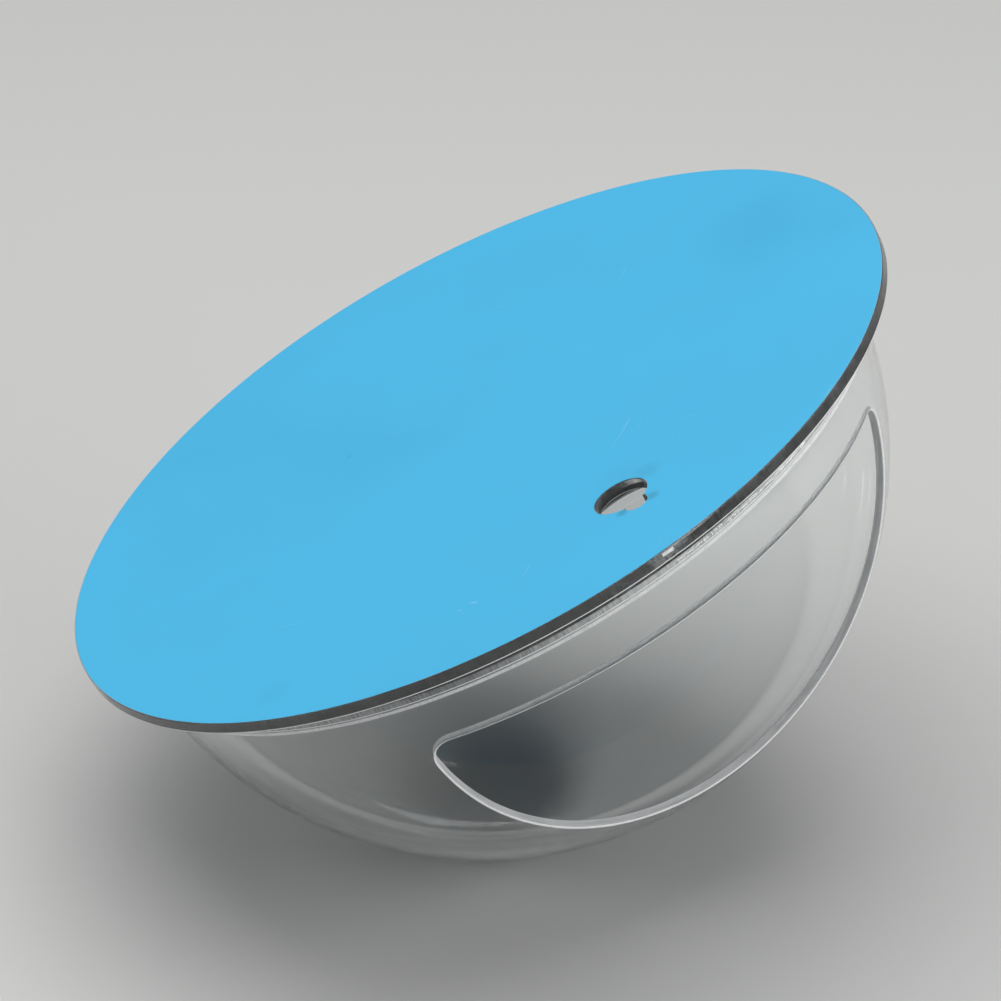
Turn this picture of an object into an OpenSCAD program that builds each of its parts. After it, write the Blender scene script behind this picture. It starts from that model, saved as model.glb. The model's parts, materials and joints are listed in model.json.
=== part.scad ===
// Wall-mounted fish tank: a clear blown dome with a sawn mouth, on a round back that hangs on one wall screw.
// The wall lies in the plane y = 0. The dome stands out along -Y and the mouth opens upwards, along +Z.

/* [Wall plate] */
// Diameter of the plate that lies against the wall
plate_d = 230; // [200:1:320]
// Thickness of the plate
plate_t = 3.2; // [2:0.1:6]
// Thickness of the protective film on the back of the plate
film_t = 0.15; // [0.05:0.01:0.5]
// How far the film's edges stay back from the plate's edges
film_inset = 0.25; // [0:0.05:1]

/* [Keyhole] */
// Diameter of the large hole, which the screw's head passes
hole_d = 14; // [8:0.5:20]
// Diameter of the narrow lobe, which the screw's shank rests in
neck_d = 6; // [3:0.1:8]
// Rise of the lobe's centre above the large hole's centre
neck_rise = 7.6; // [6:0.1:10]
// Room left around the large hole and the lobe for the screw's head
head_room = 5; // [3:0.5:8]

/* [Spacer and tank back] */
// Thickness of the spacer between the plate and the tank back
spacer_t = 3.2; // [2:0.1:6]
// Width of the spacer left between its edge and the hollow for the screw's head
hollow_edge = 9.1; // [4:0.1:40]
// Diameter of the tank back
back_d = 214; // [180:1:300]
// Thickness of the tank back
back_t = 3.2; // [2:0.1:6]

/* [Dome] */
// Height of the dome over the front of the tank back
dome_h = 100; // [85:1:115]
// Thickness of the dome's wall
dome_wall = 2.2; // [1.5:0.1:4]
// How far the tank back stands out past the dome's widest line
rim_ledge = 3.5; // [2:0.1:8]
// How far the dome's sawn lip stays back from the edge of the tank back
lip_inset = 0.5; // [0:0.1:1.5]
// Thickness of the lip
lip_t = 1.5; // [1:0.1:3]
// Size of the slope between the lip and the dome's wall
lip_blend = 1.2; // [0.5:0.1:2]

/* [Mouth] */
// Distance of the mouth's back edge from the front of the tank back
mouth_back = 15.8; // [10:0.1:30]
// Height of the mouth's floor above the middle, where it would meet the back edge without a turn
mouth_z = 71; // [55:0.5:80]
// Slope of the mouth's floor, down towards the front, in degrees
mouth_tilt = 10; // [0:0.5:15]
// Radius of the turns between the floor and the back edge
mouth_turn_r = 7; // [4:0.5:20]

/* [Hidden] */
$fn = 128;
// A cut reaches this far past the faces that it opens
cut_over = 1;
// Depths from the wall
plate_depth = film_t;
spacer_depth = plate_depth + plate_t;
back_depth = spacer_depth + spacer_t;
dome_depth = back_depth + back_t;
lip_front = dome_depth + lip_t;
// The dome is part of a ball
dome_r = back_d / 2 - rim_ledge;
dome_centre = dome_depth + dome_h - dome_r;
lip_d = back_d - 2 * lip_inset;
lip_root_r = sqrt(pow(dome_r, 2) - pow(lip_front - dome_centre, 2));
// The hollow is centred between the lowest and the highest place of the screw's head
hollow_d = hole_d + neck_rise + 2 * head_room;
hollow_z = back_d / 2 - hollow_edge - hollow_d / 2;
// Height of the large hole above the middle of the plate
hole_z = hollow_z - neck_rise / 2;
// The mouth is cut square to the wall, so each of its faces is part of a cone from the ball's centre
back_axis = [0, 0, 1];
floor_axis = [0, cos(mouth_tilt), sin(mouth_tilt)];
// Distances of the planes of its back edge and its floor from the ball's centre
back_out = dome_depth + mouth_back - dome_centre;
floor_out = mouth_z * cos(mouth_tilt) + back_out * sin(mouth_tilt);
back_angle = acos(back_out / dome_r);
floor_angle = acos(floor_out / dome_r);
turn_angle = asin(mouth_turn_r / dome_r);
// Direction of the middle of the turn on the +X side, seen from the ball's centre
turn_out = cos(back_angle - turn_angle);
turn_up = (cos(floor_angle - turn_angle) - turn_out * sin(mouth_tilt)) / cos(mouth_tilt);
turn_axis = [sqrt(1 - pow(turn_out, 2) - pow(turn_up, 2)), turn_up, turn_out];
// Planes through both ends of one turn, and through the ends of the floor
corner_axis = cross(turn_end(back_axis, back_angle), turn_end(floor_axis, floor_angle));
split_axis = cross([1, 0, 0], turn_end(floor_axis, floor_angle));
// A turn bites this far past the floor and the back edge, so that the three faces cross
turn_bite = 0.03;
// The cut of the floor reaches this far past the ends of the floor, into the cut of the back edge
floor_lap = 0.2;
space_w = 2 * (dome_r + cut_over);
space_reach = dome_depth + dome_h + dome_r;

// Direction in which a turn runs out into the cone of the given axis and angle
function turn_end(axis, angle) =
    (sin(angle) * turn_axis - sin(turn_angle) * axis) / sin(angle - turn_angle);

// Stands what is drawn flat up against the wall: its height becomes depth, its y becomes height
module on_wall() {
    rotate([90, 0, 0]) children();
}

// A round sheet whose wall side lies at the given depth
module sheet(d, t, depth) {
    translate([0, 0, depth]) cylinder(d = d, h = t);
}

// The hole that a sheet of the given place and thickness needs, wider all round by grow
module keyhole_cut(grow, t, depth) {
    translate([0, hole_z, depth - cut_over]) cylinder(d = hole_d + 2 * grow, h = t + 2 * cut_over);
    translate([0, hole_z + neck_rise, depth - cut_over])
        cylinder(d = neck_d + 2 * grow, h = t + 2 * cut_over);
}

// A ball with its poles at the top and the bottom, behind the dome's rim
module ball(r) {
    translate([0, 0, dome_centre]) rotate([90, 0, 0]) sphere(r);
}

// Everything in front of the tank back
module front_space() {
    translate([-space_w / 2, -space_w / 2, dome_depth]) cube([space_w, space_w, space_reach]);
}

// The lip and the slope that leads from it into the wall
module lip() {
    sheet(lip_d, lip_t, dome_depth);
    translate([0, 0, lip_front])
        cylinder(r1 = lip_root_r + lip_blend, r2 = lip_root_r - dome_wall / 2, h = lip_blend + dome_wall / 2);
}

// Points what stands upright along an axis
module along(axis) {
    rotate([0, acos(axis[2] / norm(axis)), atan2(axis[1], axis[0])]) children();
}

// A cone from the ball's centre, from just inside the wall to the given distance along its axis
module wall_cone(axis, angle, reach) {
    near = 0.9 * dome_r * cos(angle);
    along(axis) translate([0, 0, near]) cylinder(r1 = near * tan(angle), r2 = reach * tan(angle), h = reach - near);
}

// Everything beyond a plane that lies square to an axis, at a distance from the ball's centre
module beyond(axis, distance) {
    along(axis) translate([-2 * space_w, -2 * space_w, distance]) cube(4 * space_w);
}

// The front part of the mouth, down to its floor
module floor_cut() {
    difference() {
        wall_cone(floor_axis, floor_angle, dome_r + cut_over);
        beyond(-split_axis, floor_lap);
    }
}

// The rest of the mouth, between the floor's ends and the back edge, without its sharp corners
module back_cut() {
    difference() {
        wall_cone(back_axis, back_angle, dome_r / 2);
        beyond(split_axis, -floor_lap / 2);
        for (side = [0, 1]) mirror([side, 0, 0]) beyond(corner_axis, 0);
    }
}

// The whole mouth, with a turn at each end
module mouth_cut() {
    translate([0, 0, dome_centre]) {
        floor_cut();
        back_cut();
        for (side = [0, 1]) mirror([side, 0, 0]) along(turn_axis)
            translate([0, 0, 0.9 * dome_r]) cylinder(r = mouth_turn_r + turn_bite, h = dome_r);
    }
}

module protective_film() {
    color([0.33, 0.71, 0.90]) on_wall() difference() {
        sheet(plate_d - 2 * film_inset, film_t, 0);
        keyhole_cut(film_inset, film_t, 0);
    }
}

module mounting_plate() {
    color([0.86, 0.92, 0.94, 0.45]) on_wall() difference() {
        sheet(plate_d, plate_t, plate_depth);
        keyhole_cut(0, plate_t, plate_depth);
    }
}

module spacer_disc() {
    color([0.80, 0.88, 0.91, 0.45]) on_wall() difference() {
        sheet(back_d, spacer_t, spacer_depth);
        translate([0, hollow_z, 0]) sheet(hollow_d, spacer_t + 2 * cut_over, spacer_depth - cut_over);
    }
}

module tank_back() {
    color([0.86, 0.92, 0.94, 0.45]) on_wall() sheet(back_d, back_t, back_depth);
}

module dome_shell() {
    color([0.90, 0.95, 0.97, 0.35]) on_wall() difference() {
        union() {
            intersection() {
                ball(dome_r);
                front_space();
            }
            lip();
        }
        ball(dome_r - dome_wall);
        mouth_cut();
    }
}

protective_film();
mounting_plate();
spacer_disc();
tank_back();
dome_shell();
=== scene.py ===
"""Dresses the wall-mounted fish tank: a clear blown dome on a round filmed back, lying on its dome.

Everything is in metres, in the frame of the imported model. The wall is the plane y = 0, the dome stands out
along -Y and its mouth opens along +Z.
"""

from __future__ import annotations

import json
import logging
import math
from dataclasses import dataclass, field, replace
from enum import Enum

import bmesh
import bpy
import numpy as np
from mathutils import Matrix, Vector

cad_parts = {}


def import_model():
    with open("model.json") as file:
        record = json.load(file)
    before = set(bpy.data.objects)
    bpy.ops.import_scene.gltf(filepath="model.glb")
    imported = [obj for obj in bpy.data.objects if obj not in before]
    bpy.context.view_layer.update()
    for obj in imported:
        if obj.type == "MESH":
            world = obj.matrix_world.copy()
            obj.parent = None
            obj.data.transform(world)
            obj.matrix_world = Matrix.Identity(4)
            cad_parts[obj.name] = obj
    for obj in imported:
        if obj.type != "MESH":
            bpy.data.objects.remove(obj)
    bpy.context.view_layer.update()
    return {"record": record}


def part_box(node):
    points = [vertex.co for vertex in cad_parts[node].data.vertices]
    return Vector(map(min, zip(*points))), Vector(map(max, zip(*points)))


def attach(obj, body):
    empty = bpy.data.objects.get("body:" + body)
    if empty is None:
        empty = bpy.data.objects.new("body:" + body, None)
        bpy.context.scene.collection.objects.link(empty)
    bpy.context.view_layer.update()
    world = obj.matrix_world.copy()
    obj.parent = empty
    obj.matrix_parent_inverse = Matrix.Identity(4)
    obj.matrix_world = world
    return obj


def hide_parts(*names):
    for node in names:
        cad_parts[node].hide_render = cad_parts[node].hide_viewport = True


LOG = logging.getLogger("fish_tank")
MM = 0.001
ACRYLIC_IOR = 1.49
# Neighbouring sheets share this much of their depth, as a cemented joint leaves no air between them
CEMENT = 0.02 * MM
# Name of the mesh attribute that holds each point's way along its loop
RUN = "run"
# A look through the stack of sheets and back passes eight cemented faces, and more where it is reflected
CEMENTED_FACES_PASSED = 24
# The range of a mask
WHOLE = (0.0, 1.0)

Socket = bpy.types.NodeSocket
Range = tuple[float, float]
Place = tuple[float, float, float]
Colour = tuple[float, float, float, float]
Listing = tuple[tuple[float, ...], ...]


class Surface(Enum):
    """The surfaces that the pieces show, by the names of their materials."""

    FILM = "blue_film"
    SHEET = "polished_sheet"
    CUT_EDGE = "cut_sheet_edge"
    BLOWN = "blown_acrylic"
    SAWN = "sawn_acrylic"
    SCRAPED = "scraped_corner"
    MOUTH = "mouth_edge"
    CEMENTED = "cemented_joint"


class Slot(Enum):
    """The record's material slots."""

    FILM = "blue_film"
    SHEET = "clear_sheet"
    DOME = "clear_dome"


class SawMark(Enum):
    """What a cut leaves on an edge: ridges across it, lines along it and wide patches of both."""

    RIDGES = "Ridges"
    LINES = "Lines"
    PATCHES = "Patches"


class NodePen:
    """Draws nodes in one node tree and links them as they are made."""

    def __init__(self, tree: bpy.types.NodeTree) -> None:
        """Starts with an empty tree."""
        self.tree = tree
        tree.nodes.clear()

    def add(self, kind: str, inputs: dict | None = None, **settings: object) -> bpy.types.Node:
        """Adds a node.

        Args:
            kind: The node's type, without the ShaderNode in front.
            inputs: Values or sockets for its inputs, by name or by number.
            settings: Properties of the node.

        Returns:
            The new node.
        """
        node = self.tree.nodes.new(kind if kind.startswith("Node") else f"ShaderNode{kind}")
        for key, value in settings.items():
            setattr(node, key, value)
        for key, value in (inputs or {}).items():
            socket = node.inputs[key]
            if isinstance(value, Socket):
                self.tree.links.new(value, socket)
            else:
                socket.default_value = value
        return node

    def place(self) -> Socket:
        """The place of each point, in the frame of its piece."""
        return self.add("TexCoord").outputs["Object"]

    def noise(self, where: Socket, scale: float | Socket, detail: float = 2.0) -> Socket:
        """A noise value from 0 to 1 at a place, with so many swings a metre."""
        return self.add("TexNoise", {"Vector": where, "Scale": scale, "Detail": detail}).outputs["Fac"]

    def math(self, operation: str, *values: float | Socket) -> Socket:
        """The result of a sum or other operation on one to three values."""
        return self.add("Math", dict(enumerate(values)), operation=operation).outputs[0]

    def mix(self, share: Socket, first: Colour | Socket, second: Colour) -> Socket:
        """The colour that lies at a share of the way from a first colour to a second one."""
        values = {"Factor": share, "A": first, "B": second}
        return self.add("Mix", values, data_type="RGBA").outputs["Result"]

    def bump(self, height: Socket, depth: float) -> Socket:
        """A normal with the given relief, whose depth is in metres."""
        return self.add("Bump", {"Height": height, "Strength": 1.0, "Distance": depth}).outputs["Normal"]

    def effect(self, group: bpy.types.NodeTree, inputs: dict[str, float]) -> bpy.types.NodeOutputs:
        """The outputs of a shader group that is placed with the given inputs."""
        return self.add("Group", inputs, node_tree=group).outputs

    def span(self, value: Socket, source: Range, target: Range = WHOLE) -> Socket:
        """Maps a value smoothly from one range to another, held at both ends.

        Args:
            value: The value.
            source: The range that it comes in.
            target: What the ends of that range become.

        Returns:
            The mapped value.
        """
        ends = dict(zip(("From Min", "From Max", "To Min", "To Max"), (*source, *target)))
        node = self.add("MapRange", {"Value": value, **ends}, interpolation_type="SMOOTHSTEP")
        return node.outputs["Result"]

    def stretched(self, where: Socket, scale: Place, turn: float = 0.0,
                  middle: Place = (0.0, 0.0, 0.0)) -> Socket:
        """A place, seen from a middle, turned about the depth axis and then stretched."""
        values = {"Vector": where, "Location": middle, "Rotation": (0.0, turn, 0.0), "Scale": scale}
        return self.add("Mapping", values, vector_type="TEXTURE").outputs["Vector"]

    def spot(self, where: Socket, middle: Place, size: Place, strength: float, turn: float = 0.0,
             core: float = 0.2) -> Socket:
        """A soft spot: a value that falls from its strength to 0.

        Args:
            where: The place that the value is for.
            middle: The spot's middle.
            size: Its half sizes, at which the value is 0.
            strength: The value in its middle.
            turn: Its turn about the depth axis.
            core: Share of the half sizes up to which the value keeps its strength.

        Returns:
            The value.
        """
        near = self.stretched(where, size, turn, middle)
        away = self.add("VectorMath", {0: near}, operation="LENGTH").outputs["Value"]
        return self.span(away, (core, 1.0), (strength, 0.0))


@dataclass
class Effects:
    """The shader groups that more than one finish uses, each built once.

    Attributes:
        ridge_stretch: How far the pattern of the ridges is drawn out: twice along an edge, then across it.
        line_stretch: The same for the pattern of the lines.
        mark_detail: How finely ridges and lines are broken up.
        patch_share: Number of wide patches to one mark.
        patch_range: Noise values between which a patch sets in.
        cloud_detail: How finely the clouds of a smudge are broken up.
        cloud_range: Noise values between which a smudge sets in.
        scratches: Turn of each set of scratches, and how many scratched places it has a metre.
        scratch_stretch: How far the pattern of the scratches is drawn out.
        scratch_detail: How finely scratches are broken up.
        scratch_range: Noise values between which a scratch sets in.
        scratched_range: Noise values between which a scratched place sets in.
        saw_marks: The group of the marks that a cut leaves on an edge.
        handling: The group of the smudges.
        hairlines: The group of the fine scratches.
    """

    ridge_stretch: Place = (1.0, 1.0, 6.0)
    line_stretch: Place = (25.0, 25.0, 1.0)
    mark_detail: float = 3.0
    patch_share: float = 0.12
    patch_range: Range = (0.35, 0.65)
    cloud_detail: float = 4.0
    cloud_range: Range = (0.52, 0.74)
    scratches: Listing = ((0.6, 51.0), (-0.9, 36.0))
    scratch_stretch: Place = (30.0, 1.0, 1.0)
    scratch_detail: float = 1.0
    scratch_range: Range = (0.72, 0.76)
    scratched_range: Range = (0.55, 0.7)
    saw_marks: bpy.types.NodeTree = field(init=False)
    handling: bpy.types.NodeTree = field(init=False)
    hairlines: bpy.types.NodeTree = field(init=False)

    def __post_init__(self) -> None:
        """Builds the groups."""
        self.saw_marks = self._saw_marks()
        self.handling = self._handling()
        self.hairlines = self._hairlines()

    @staticmethod
    def _group(name: str, density: str, outputs: tuple[str, ...]) -> tuple[NodePen, Socket]:
        """Starts a group.

        Args:
            name: The group's name.
            density: Name of its input, which says how close its marks lie.
            outputs: Names of its outputs.

        Returns:
            A pen in the group's tree, and the input.
        """
        tree = bpy.data.node_groups.new(name, "ShaderNodeTree")
        pen = NodePen(tree)
        tree.interface.new_socket(density, in_out="INPUT", socket_type="NodeSocketFloat")
        for label in outputs:
            tree.interface.new_socket(label, in_out="OUTPUT", socket_type="NodeSocketFloat")
        return pen, pen.add("NodeGroupInput").outputs[density]

    def _saw_marks(self) -> bpy.types.NodeTree:
        """Ridges across a sawn or cut edge and lines along it, both uneven, and wide patches of both.

        Returns:
            The group.
        """
        outputs = tuple(mark.value for mark in SawMark)
        pen, density = self._group("saw_marks", "Marks per metre", outputs)
        along = pen.add("Attribute", attribute_name=RUN).outputs["Vector"]
        ridges, lines = (
            pen.noise(pen.stretched(along, stretch), density, self.mark_detail)
            for stretch in (self.ridge_stretch, self.line_stretch)
        )
        wide = pen.math("MULTIPLY", density, self.patch_share)
        pen.add("NodeGroupOutput", {
            SawMark.RIDGES.value: ridges,
            SawMark.LINES.value: lines,
            SawMark.PATCHES.value: pen.span(pen.noise(along, wide), self.patch_range),
        })
        return pen.tree

    def _handling(self) -> bpy.types.NodeTree:
        """Soft cloudy patches where hands and cloths have touched a surface.

        Returns:
            The group.
        """
        pen, density = self._group("handling", "Clouds per metre", ("Smudge",))
        clouds = pen.noise(pen.place(), density, self.cloud_detail)
        pen.add("NodeGroupOutput", {"Smudge": pen.span(clouds, self.cloud_range)})
        return pen.tree

    def _hairlines(self) -> bpy.types.NodeTree:
        """Sparse fine scratches, in two directions.

        Returns:
            The group.
        """
        pen, density = self._group("hairlines", "Lines per metre", ("Line",))
        where = pen.place()
        lines = []
        for turn, places in self.scratches:
            thin = pen.stretched(where, self.scratch_stretch, turn)
            line = pen.span(pen.noise(thin, density, self.scratch_detail), self.scratch_range)
            scratched = pen.span(pen.noise(where, places), self.scratched_range)
            lines.append(pen.math("MULTIPLY", line, scratched))
        pen.add("NodeGroupOutput", {"Line": pen.math("MAXIMUM", *lines)})
        return pen.tree


class Finish:
    """What all finishes share: the way from a shader's inputs to a material."""

    def inputs(self, pen: NodePen) -> dict:
        """Values and sockets for the shader's inputs, drawn with the pen of a material."""
        raise NotImplementedError

    def shader(self, pen: NodePen) -> Socket:
        """The output of the shader, drawn with the pen of a material."""
        return pen.add("BsdfPrincipled", self.inputs(pen)).outputs["BSDF"]

    def material(self, name: str) -> bpy.types.Material:
        """Makes a material of this finish.

        Args:
            name: The material's name.

        Returns:
            The material.
        """
        material = bpy.data.materials.new(name)
        material.use_nodes = True
        pen = NodePen(material.node_tree)
        pen.add("OutputMaterial", {"Surface": self.shader(pen)})
        return material


@dataclass(frozen=True)
class ClearAcrylic(Finish):
    """Clear acrylic: polished, with faint marks of handling and, on a blown piece, a slow waviness.

    Attributes:
        smudge_share: How strong a smudge is beside a scratch.
        roughness: Roughness of the polish and of a scratch.
    """

    effects: Effects
    tint: Colour = (0.97, 0.985, 0.985, 1.0)
    clouds_per_metre: float = 26.0
    lines_per_metre: float = 1100.0
    smudge_share: float = 0.35
    roughness: Range = (0.004, 0.05)
    waves_per_metre: float = 22.0
    wave_detail: float = 1.0
    wave_depth: float = 0.0

    def inputs(self, pen: NodePen) -> dict:
        """Draws the wear and the waviness.

        Args:
            pen: The pen in the material's node tree.

        Returns:
            The shader's inputs.
        """
        smudge = pen.effect(self.effects.handling, {"Clouds per metre": self.clouds_per_metre})["Smudge"]
        line = pen.effect(self.effects.hairlines, {"Lines per metre": self.lines_per_metre})["Line"]
        worn = pen.math("MAXIMUM", pen.math("MULTIPLY", smudge, self.smudge_share), line)
        inputs = {
            "Base Color": self.tint,
            "Roughness": pen.span(worn, WHOLE, self.roughness),
            "IOR": ACRYLIC_IOR,
            "Transmission Weight": 1.0,
        }
        if self.wave_depth:
            waves = pen.noise(pen.place(), self.waves_per_metre, self.wave_detail)
            inputs["Normal"] = pen.bump(waves, self.wave_depth)
        return inputs


@dataclass(frozen=True)
class CutEdge(Finish):
    """The edge of a cut sheet: still clear, with fine upright ridges and a rough mark where the cut began.

    Attributes:
        clear: Share of the light that passes.
        ridge_range: Values of the ridges between which the colour goes from dull to pale.
        roughness: Roughness outside the patches and in them.
        start_mark: Middle of the rough mark.
        start_size: Half sizes of that mark.
        start_roughness: How much rougher it is.
    """

    effects: Effects
    clear: float = 0.93
    marks_per_metre: float = 1800.0
    ridge_depth: float = 0.02 * MM
    ridge_range: Range = (0.38, 0.62)
    pale: Colour = (0.96, 0.97, 0.975, 1.0)
    dull: Colour = (0.55, 0.57, 0.58, 1.0)
    roughness: Range = (0.10, 0.26)
    start_mark: Place = (-8.6 * MM, -1.8 * MM, 114.6 * MM)
    start_size: Place = (2.2 * MM, 0.9 * MM, 2.2 * MM)
    start_roughness: float = 0.6

    def inputs(self, pen: NodePen) -> dict:
        """Draws the marks of the cutter.

        Args:
            pen: The pen in the material's node tree.

        Returns:
            The shader's inputs.
        """
        marks = pen.effect(self.effects.saw_marks, {"Marks per metre": self.marks_per_metre})
        ridges = marks[SawMark.RIDGES.value]
        rough = pen.span(marks[SawMark.PATCHES.value], WHOLE, self.roughness)
        begun = pen.spot(pen.place(), self.start_mark, self.start_size, self.start_roughness)
        return {
            "Base Color": pen.mix(pen.span(ridges, self.ridge_range), self.dull, self.pale),
            "Roughness": pen.math("ADD", rough, begun),
            "IOR": ACRYLIC_IOR,
            "Transmission Weight": self.clear,
            "Normal": pen.bump(ridges, self.ridge_depth),
        }


@dataclass(frozen=True)
class SawnAcrylic(Finish):
    """Sawn or scraped acrylic: pale with fine marks, and only partly clear.

    Attributes:
        clear: Share of the light that passes.
        marks: Which marks of the saw it shows.
        pale_range: Values of the marks between which the colour goes from dull to pale.
        patch_share: How much of the pale colour is left outside the patches and in them.
        rough_range: Values of the marks between which the roughness changes.
        roughness: Roughness at the ends of that range.
    """

    effects: Effects
    clear: float = 0.2
    marks: SawMark = SawMark.RIDGES
    marks_per_metre: float = 2200.0
    ridge_depth: float = 0.02 * MM
    pale: Colour = (0.97, 0.975, 0.98, 1.0)
    dull: Colour = (0.80, 0.81, 0.82, 1.0)
    pale_range: Range = (0.3, 0.62)
    patch_share: Range = (0.8, 1.0)
    rough_range: Range = (0.3, 0.7)
    roughness: Range = (0.7, 0.45)

    def inputs(self, pen: NodePen) -> dict:
        """Draws the marks of the saw.

        Args:
            pen: The pen in the material's node tree.

        Returns:
            The shader's inputs.
        """
        saw = pen.effect(self.effects.saw_marks, {"Marks per metre": self.marks_per_metre})
        marks = saw[self.marks.value]
        patches = pen.span(saw[SawMark.PATCHES.value], WHOLE, self.patch_share)
        share = pen.math("MULTIPLY", pen.span(marks, self.pale_range), patches)
        return {
            "Base Color": pen.mix(share, self.dull, self.pale),
            "Roughness": pen.span(marks, self.rough_range, self.roughness),
            "IOR": ACRYLIC_IOR,
            "Transmission Weight": self.clear,
            "Normal": pen.bump(marks, self.ridge_depth),
        }


@dataclass(frozen=True)
class CementedJoint(Finish):
    """A face that solvent cement has welded to its neighbour: not seen, but for a few fine bubbles.

    Attributes:
        bubble_range: Distances from a bubble's middle, in shares of their spacing, over which it fades.
        crowd_range: Noise values between which a crowd of bubbles sets in.
        bubble_share: How much a bubble shows at most.
    """

    colour: Colour = (0.92, 0.95, 0.96, 1.0)
    roughness: float = 0.3
    bubbles_per_metre: float = 420.0
    bubble_range: Range = (0.05, 0.12)
    crowds_per_metre: float = 28.0
    crowd_range: Range = (0.66, 0.74)
    bubble_share: float = 0.35

    def inputs(self, pen: NodePen) -> dict:
        """Draws the bubbles.

        Args:
            pen: The pen in the material's node tree.

        Returns:
            The shader's inputs.
        """
        where = pen.place()
        cells = pen.add("TexVoronoi", {"Vector": where, "Scale": self.bubbles_per_metre})
        bubble = pen.span(cells.outputs["Distance"], self.bubble_range, (1.0, 0.0))
        crowds = pen.noise(where, self.crowds_per_metre)
        shown = pen.span(crowds, self.crowd_range, (0.0, self.bubble_share))
        return {
            "Base Color": self.colour,
            "Roughness": self.roughness,
            "IOR": ACRYLIC_IOR,
            "Alpha": pen.math("MULTIPLY", bubble, shown),
        }


@dataclass(frozen=True)
class BlueFilm(Finish):
    """Matt sky-blue protective film with faint mottling, a few scratches, painted shade beside the blisters
    by the keyhole and a few darker patches elsewhere.

    Attributes:
        mottle_range: Noise values between which the mottling sets in.
        mottle_share: How dark the mottling is.
        roughness: Roughness of the clean film and of a smudge.
        line_share: How pale a fine scratch is.
        dark_spots_and_painted_shade: Darker patches, those by the keyhole painted shade of the film's
            blisters: x, z and radius in millimetres, and strength.
        scratches: Short scratches: x, z and half sizes in millimetres, turn in degrees, and strength.
        scratch_depth: How deep they reach, which is far more than the film's thickness.
    """

    effects: Effects
    colour: Colour = (0.055, 0.42, 0.70, 1.0)
    pale: Colour = (0.30, 0.62, 0.86, 1.0)
    # The darker colour that the mottling, the darker patches and the painted shade by the keyhole bring the
    # film towards
    shade: Colour = (0.03, 0.22, 0.34, 1.0)
    ior: float = 1.45
    mottles_per_metre: float = 14.0
    mottle_detail: float = 3.0
    mottle_range: Range = (0.3, 0.7)
    mottle_share: float = 0.07
    clouds_per_metre: float = 18.0
    roughness: Range = (0.5, 0.42)
    lines_per_metre: float = 700.0
    line_share: float = 0.35
    grains_per_metre: float = 900.0
    grain_depth: float = 0.004 * MM
    # Darker patches: the first four, beside the keyhole, are painted shade of the film's blisters; the
    # others only darken the film
    dark_spots_and_painted_shade: Listing = (
        (3.6, 88.4, 2.8, 0.5),
        (-4.4, 86.0, 2.2, 0.6),
        (9.8, 76.2, 5.0, 0.2),
        (5.0, 70.0, 9.0, 0.08),
        (-20.7, -34.5, 1.0, 0.3),
        (-92.0, 48.0, 7.0, 0.08),
        (94.0, 1.0, 22.0, 0.08),
    )
    scratches: Listing = (
        (-45.0, 75.3, 1.9, 0.35, 59.0, 0.6),
        (-48.6, 74.1, 1.3, 0.3, 55.0, 0.5),
        (-49.0, 76.3, 1.0, 0.25, 68.0, 0.25),
    )
    scratch_depth: float = 1.0

    def inputs(self, pen: NodePen) -> dict:
        """Draws the mottling, the darker patches with the painted shade by the keyhole, the scratches and
        the grain.

        Args:
            pen: The pen in the material's node tree.

        Returns:
            The shader's inputs.
        """
        where = pen.place()
        mottle = pen.span(pen.noise(where, self.mottles_per_metre, self.mottle_detail), self.mottle_range)
        dark = pen.math("MULTIPLY", mottle, self.mottle_share)
        # Painted shade of the blisters beside the keyhole, and darker patches elsewhere, added to the
        # mottling
        for x, z, radius, strength in self.dark_spots_and_painted_shade:
            spot = pen.spot(where, (x * MM, 0.0, z * MM), (radius * MM,) * 3, strength)
            dark = pen.math("ADD", dark, spot)
        line = pen.effect(self.effects.hairlines, {"Lines per metre": self.lines_per_metre})["Line"]
        bare = pen.math("MULTIPLY", line, self.line_share)
        for x, z, length, width, turn, strength in self.scratches:
            size = (length * MM, self.scratch_depth, width * MM)
            scratch = pen.spot(where, (x * MM, 0.0, z * MM), size, strength, math.radians(-turn))
            bare = pen.math("MAXIMUM", bare, scratch)
        smudge = pen.effect(self.effects.handling, {"Clouds per metre": self.clouds_per_metre})["Smudge"]
        return {
            "Base Color": pen.mix(bare, pen.mix(dark, self.colour, self.shade), self.pale),
            "Roughness": pen.span(smudge, WHOLE, self.roughness),
            "IOR": self.ior,
            "Normal": pen.bump(pen.noise(where, self.grains_per_metre), self.grain_depth),
        }


@dataclass(frozen=True)
class PaleFloor(Finish):
    """A plain pale floor that is seen from above only."""

    colour: Colour = (0.50, 0.50, 0.49, 1.0)

    def shader(self, pen: NodePen) -> Socket:
        """Draws a matt surface that lets a look from below through.

        Args:
            pen: The pen in the material's node tree.

        Returns:
            The shader's output.
        """
        matt = pen.add("BsdfDiffuse", {"Color": self.colour}).outputs["BSDF"]
        clear = pen.add("BsdfTransparent").outputs["BSDF"]
        under = pen.add("NewGeometry").outputs["Backfacing"]
        return pen.add("MixShader", {0: under, 1: matt, 2: clear}).outputs["Shader"]


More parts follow.
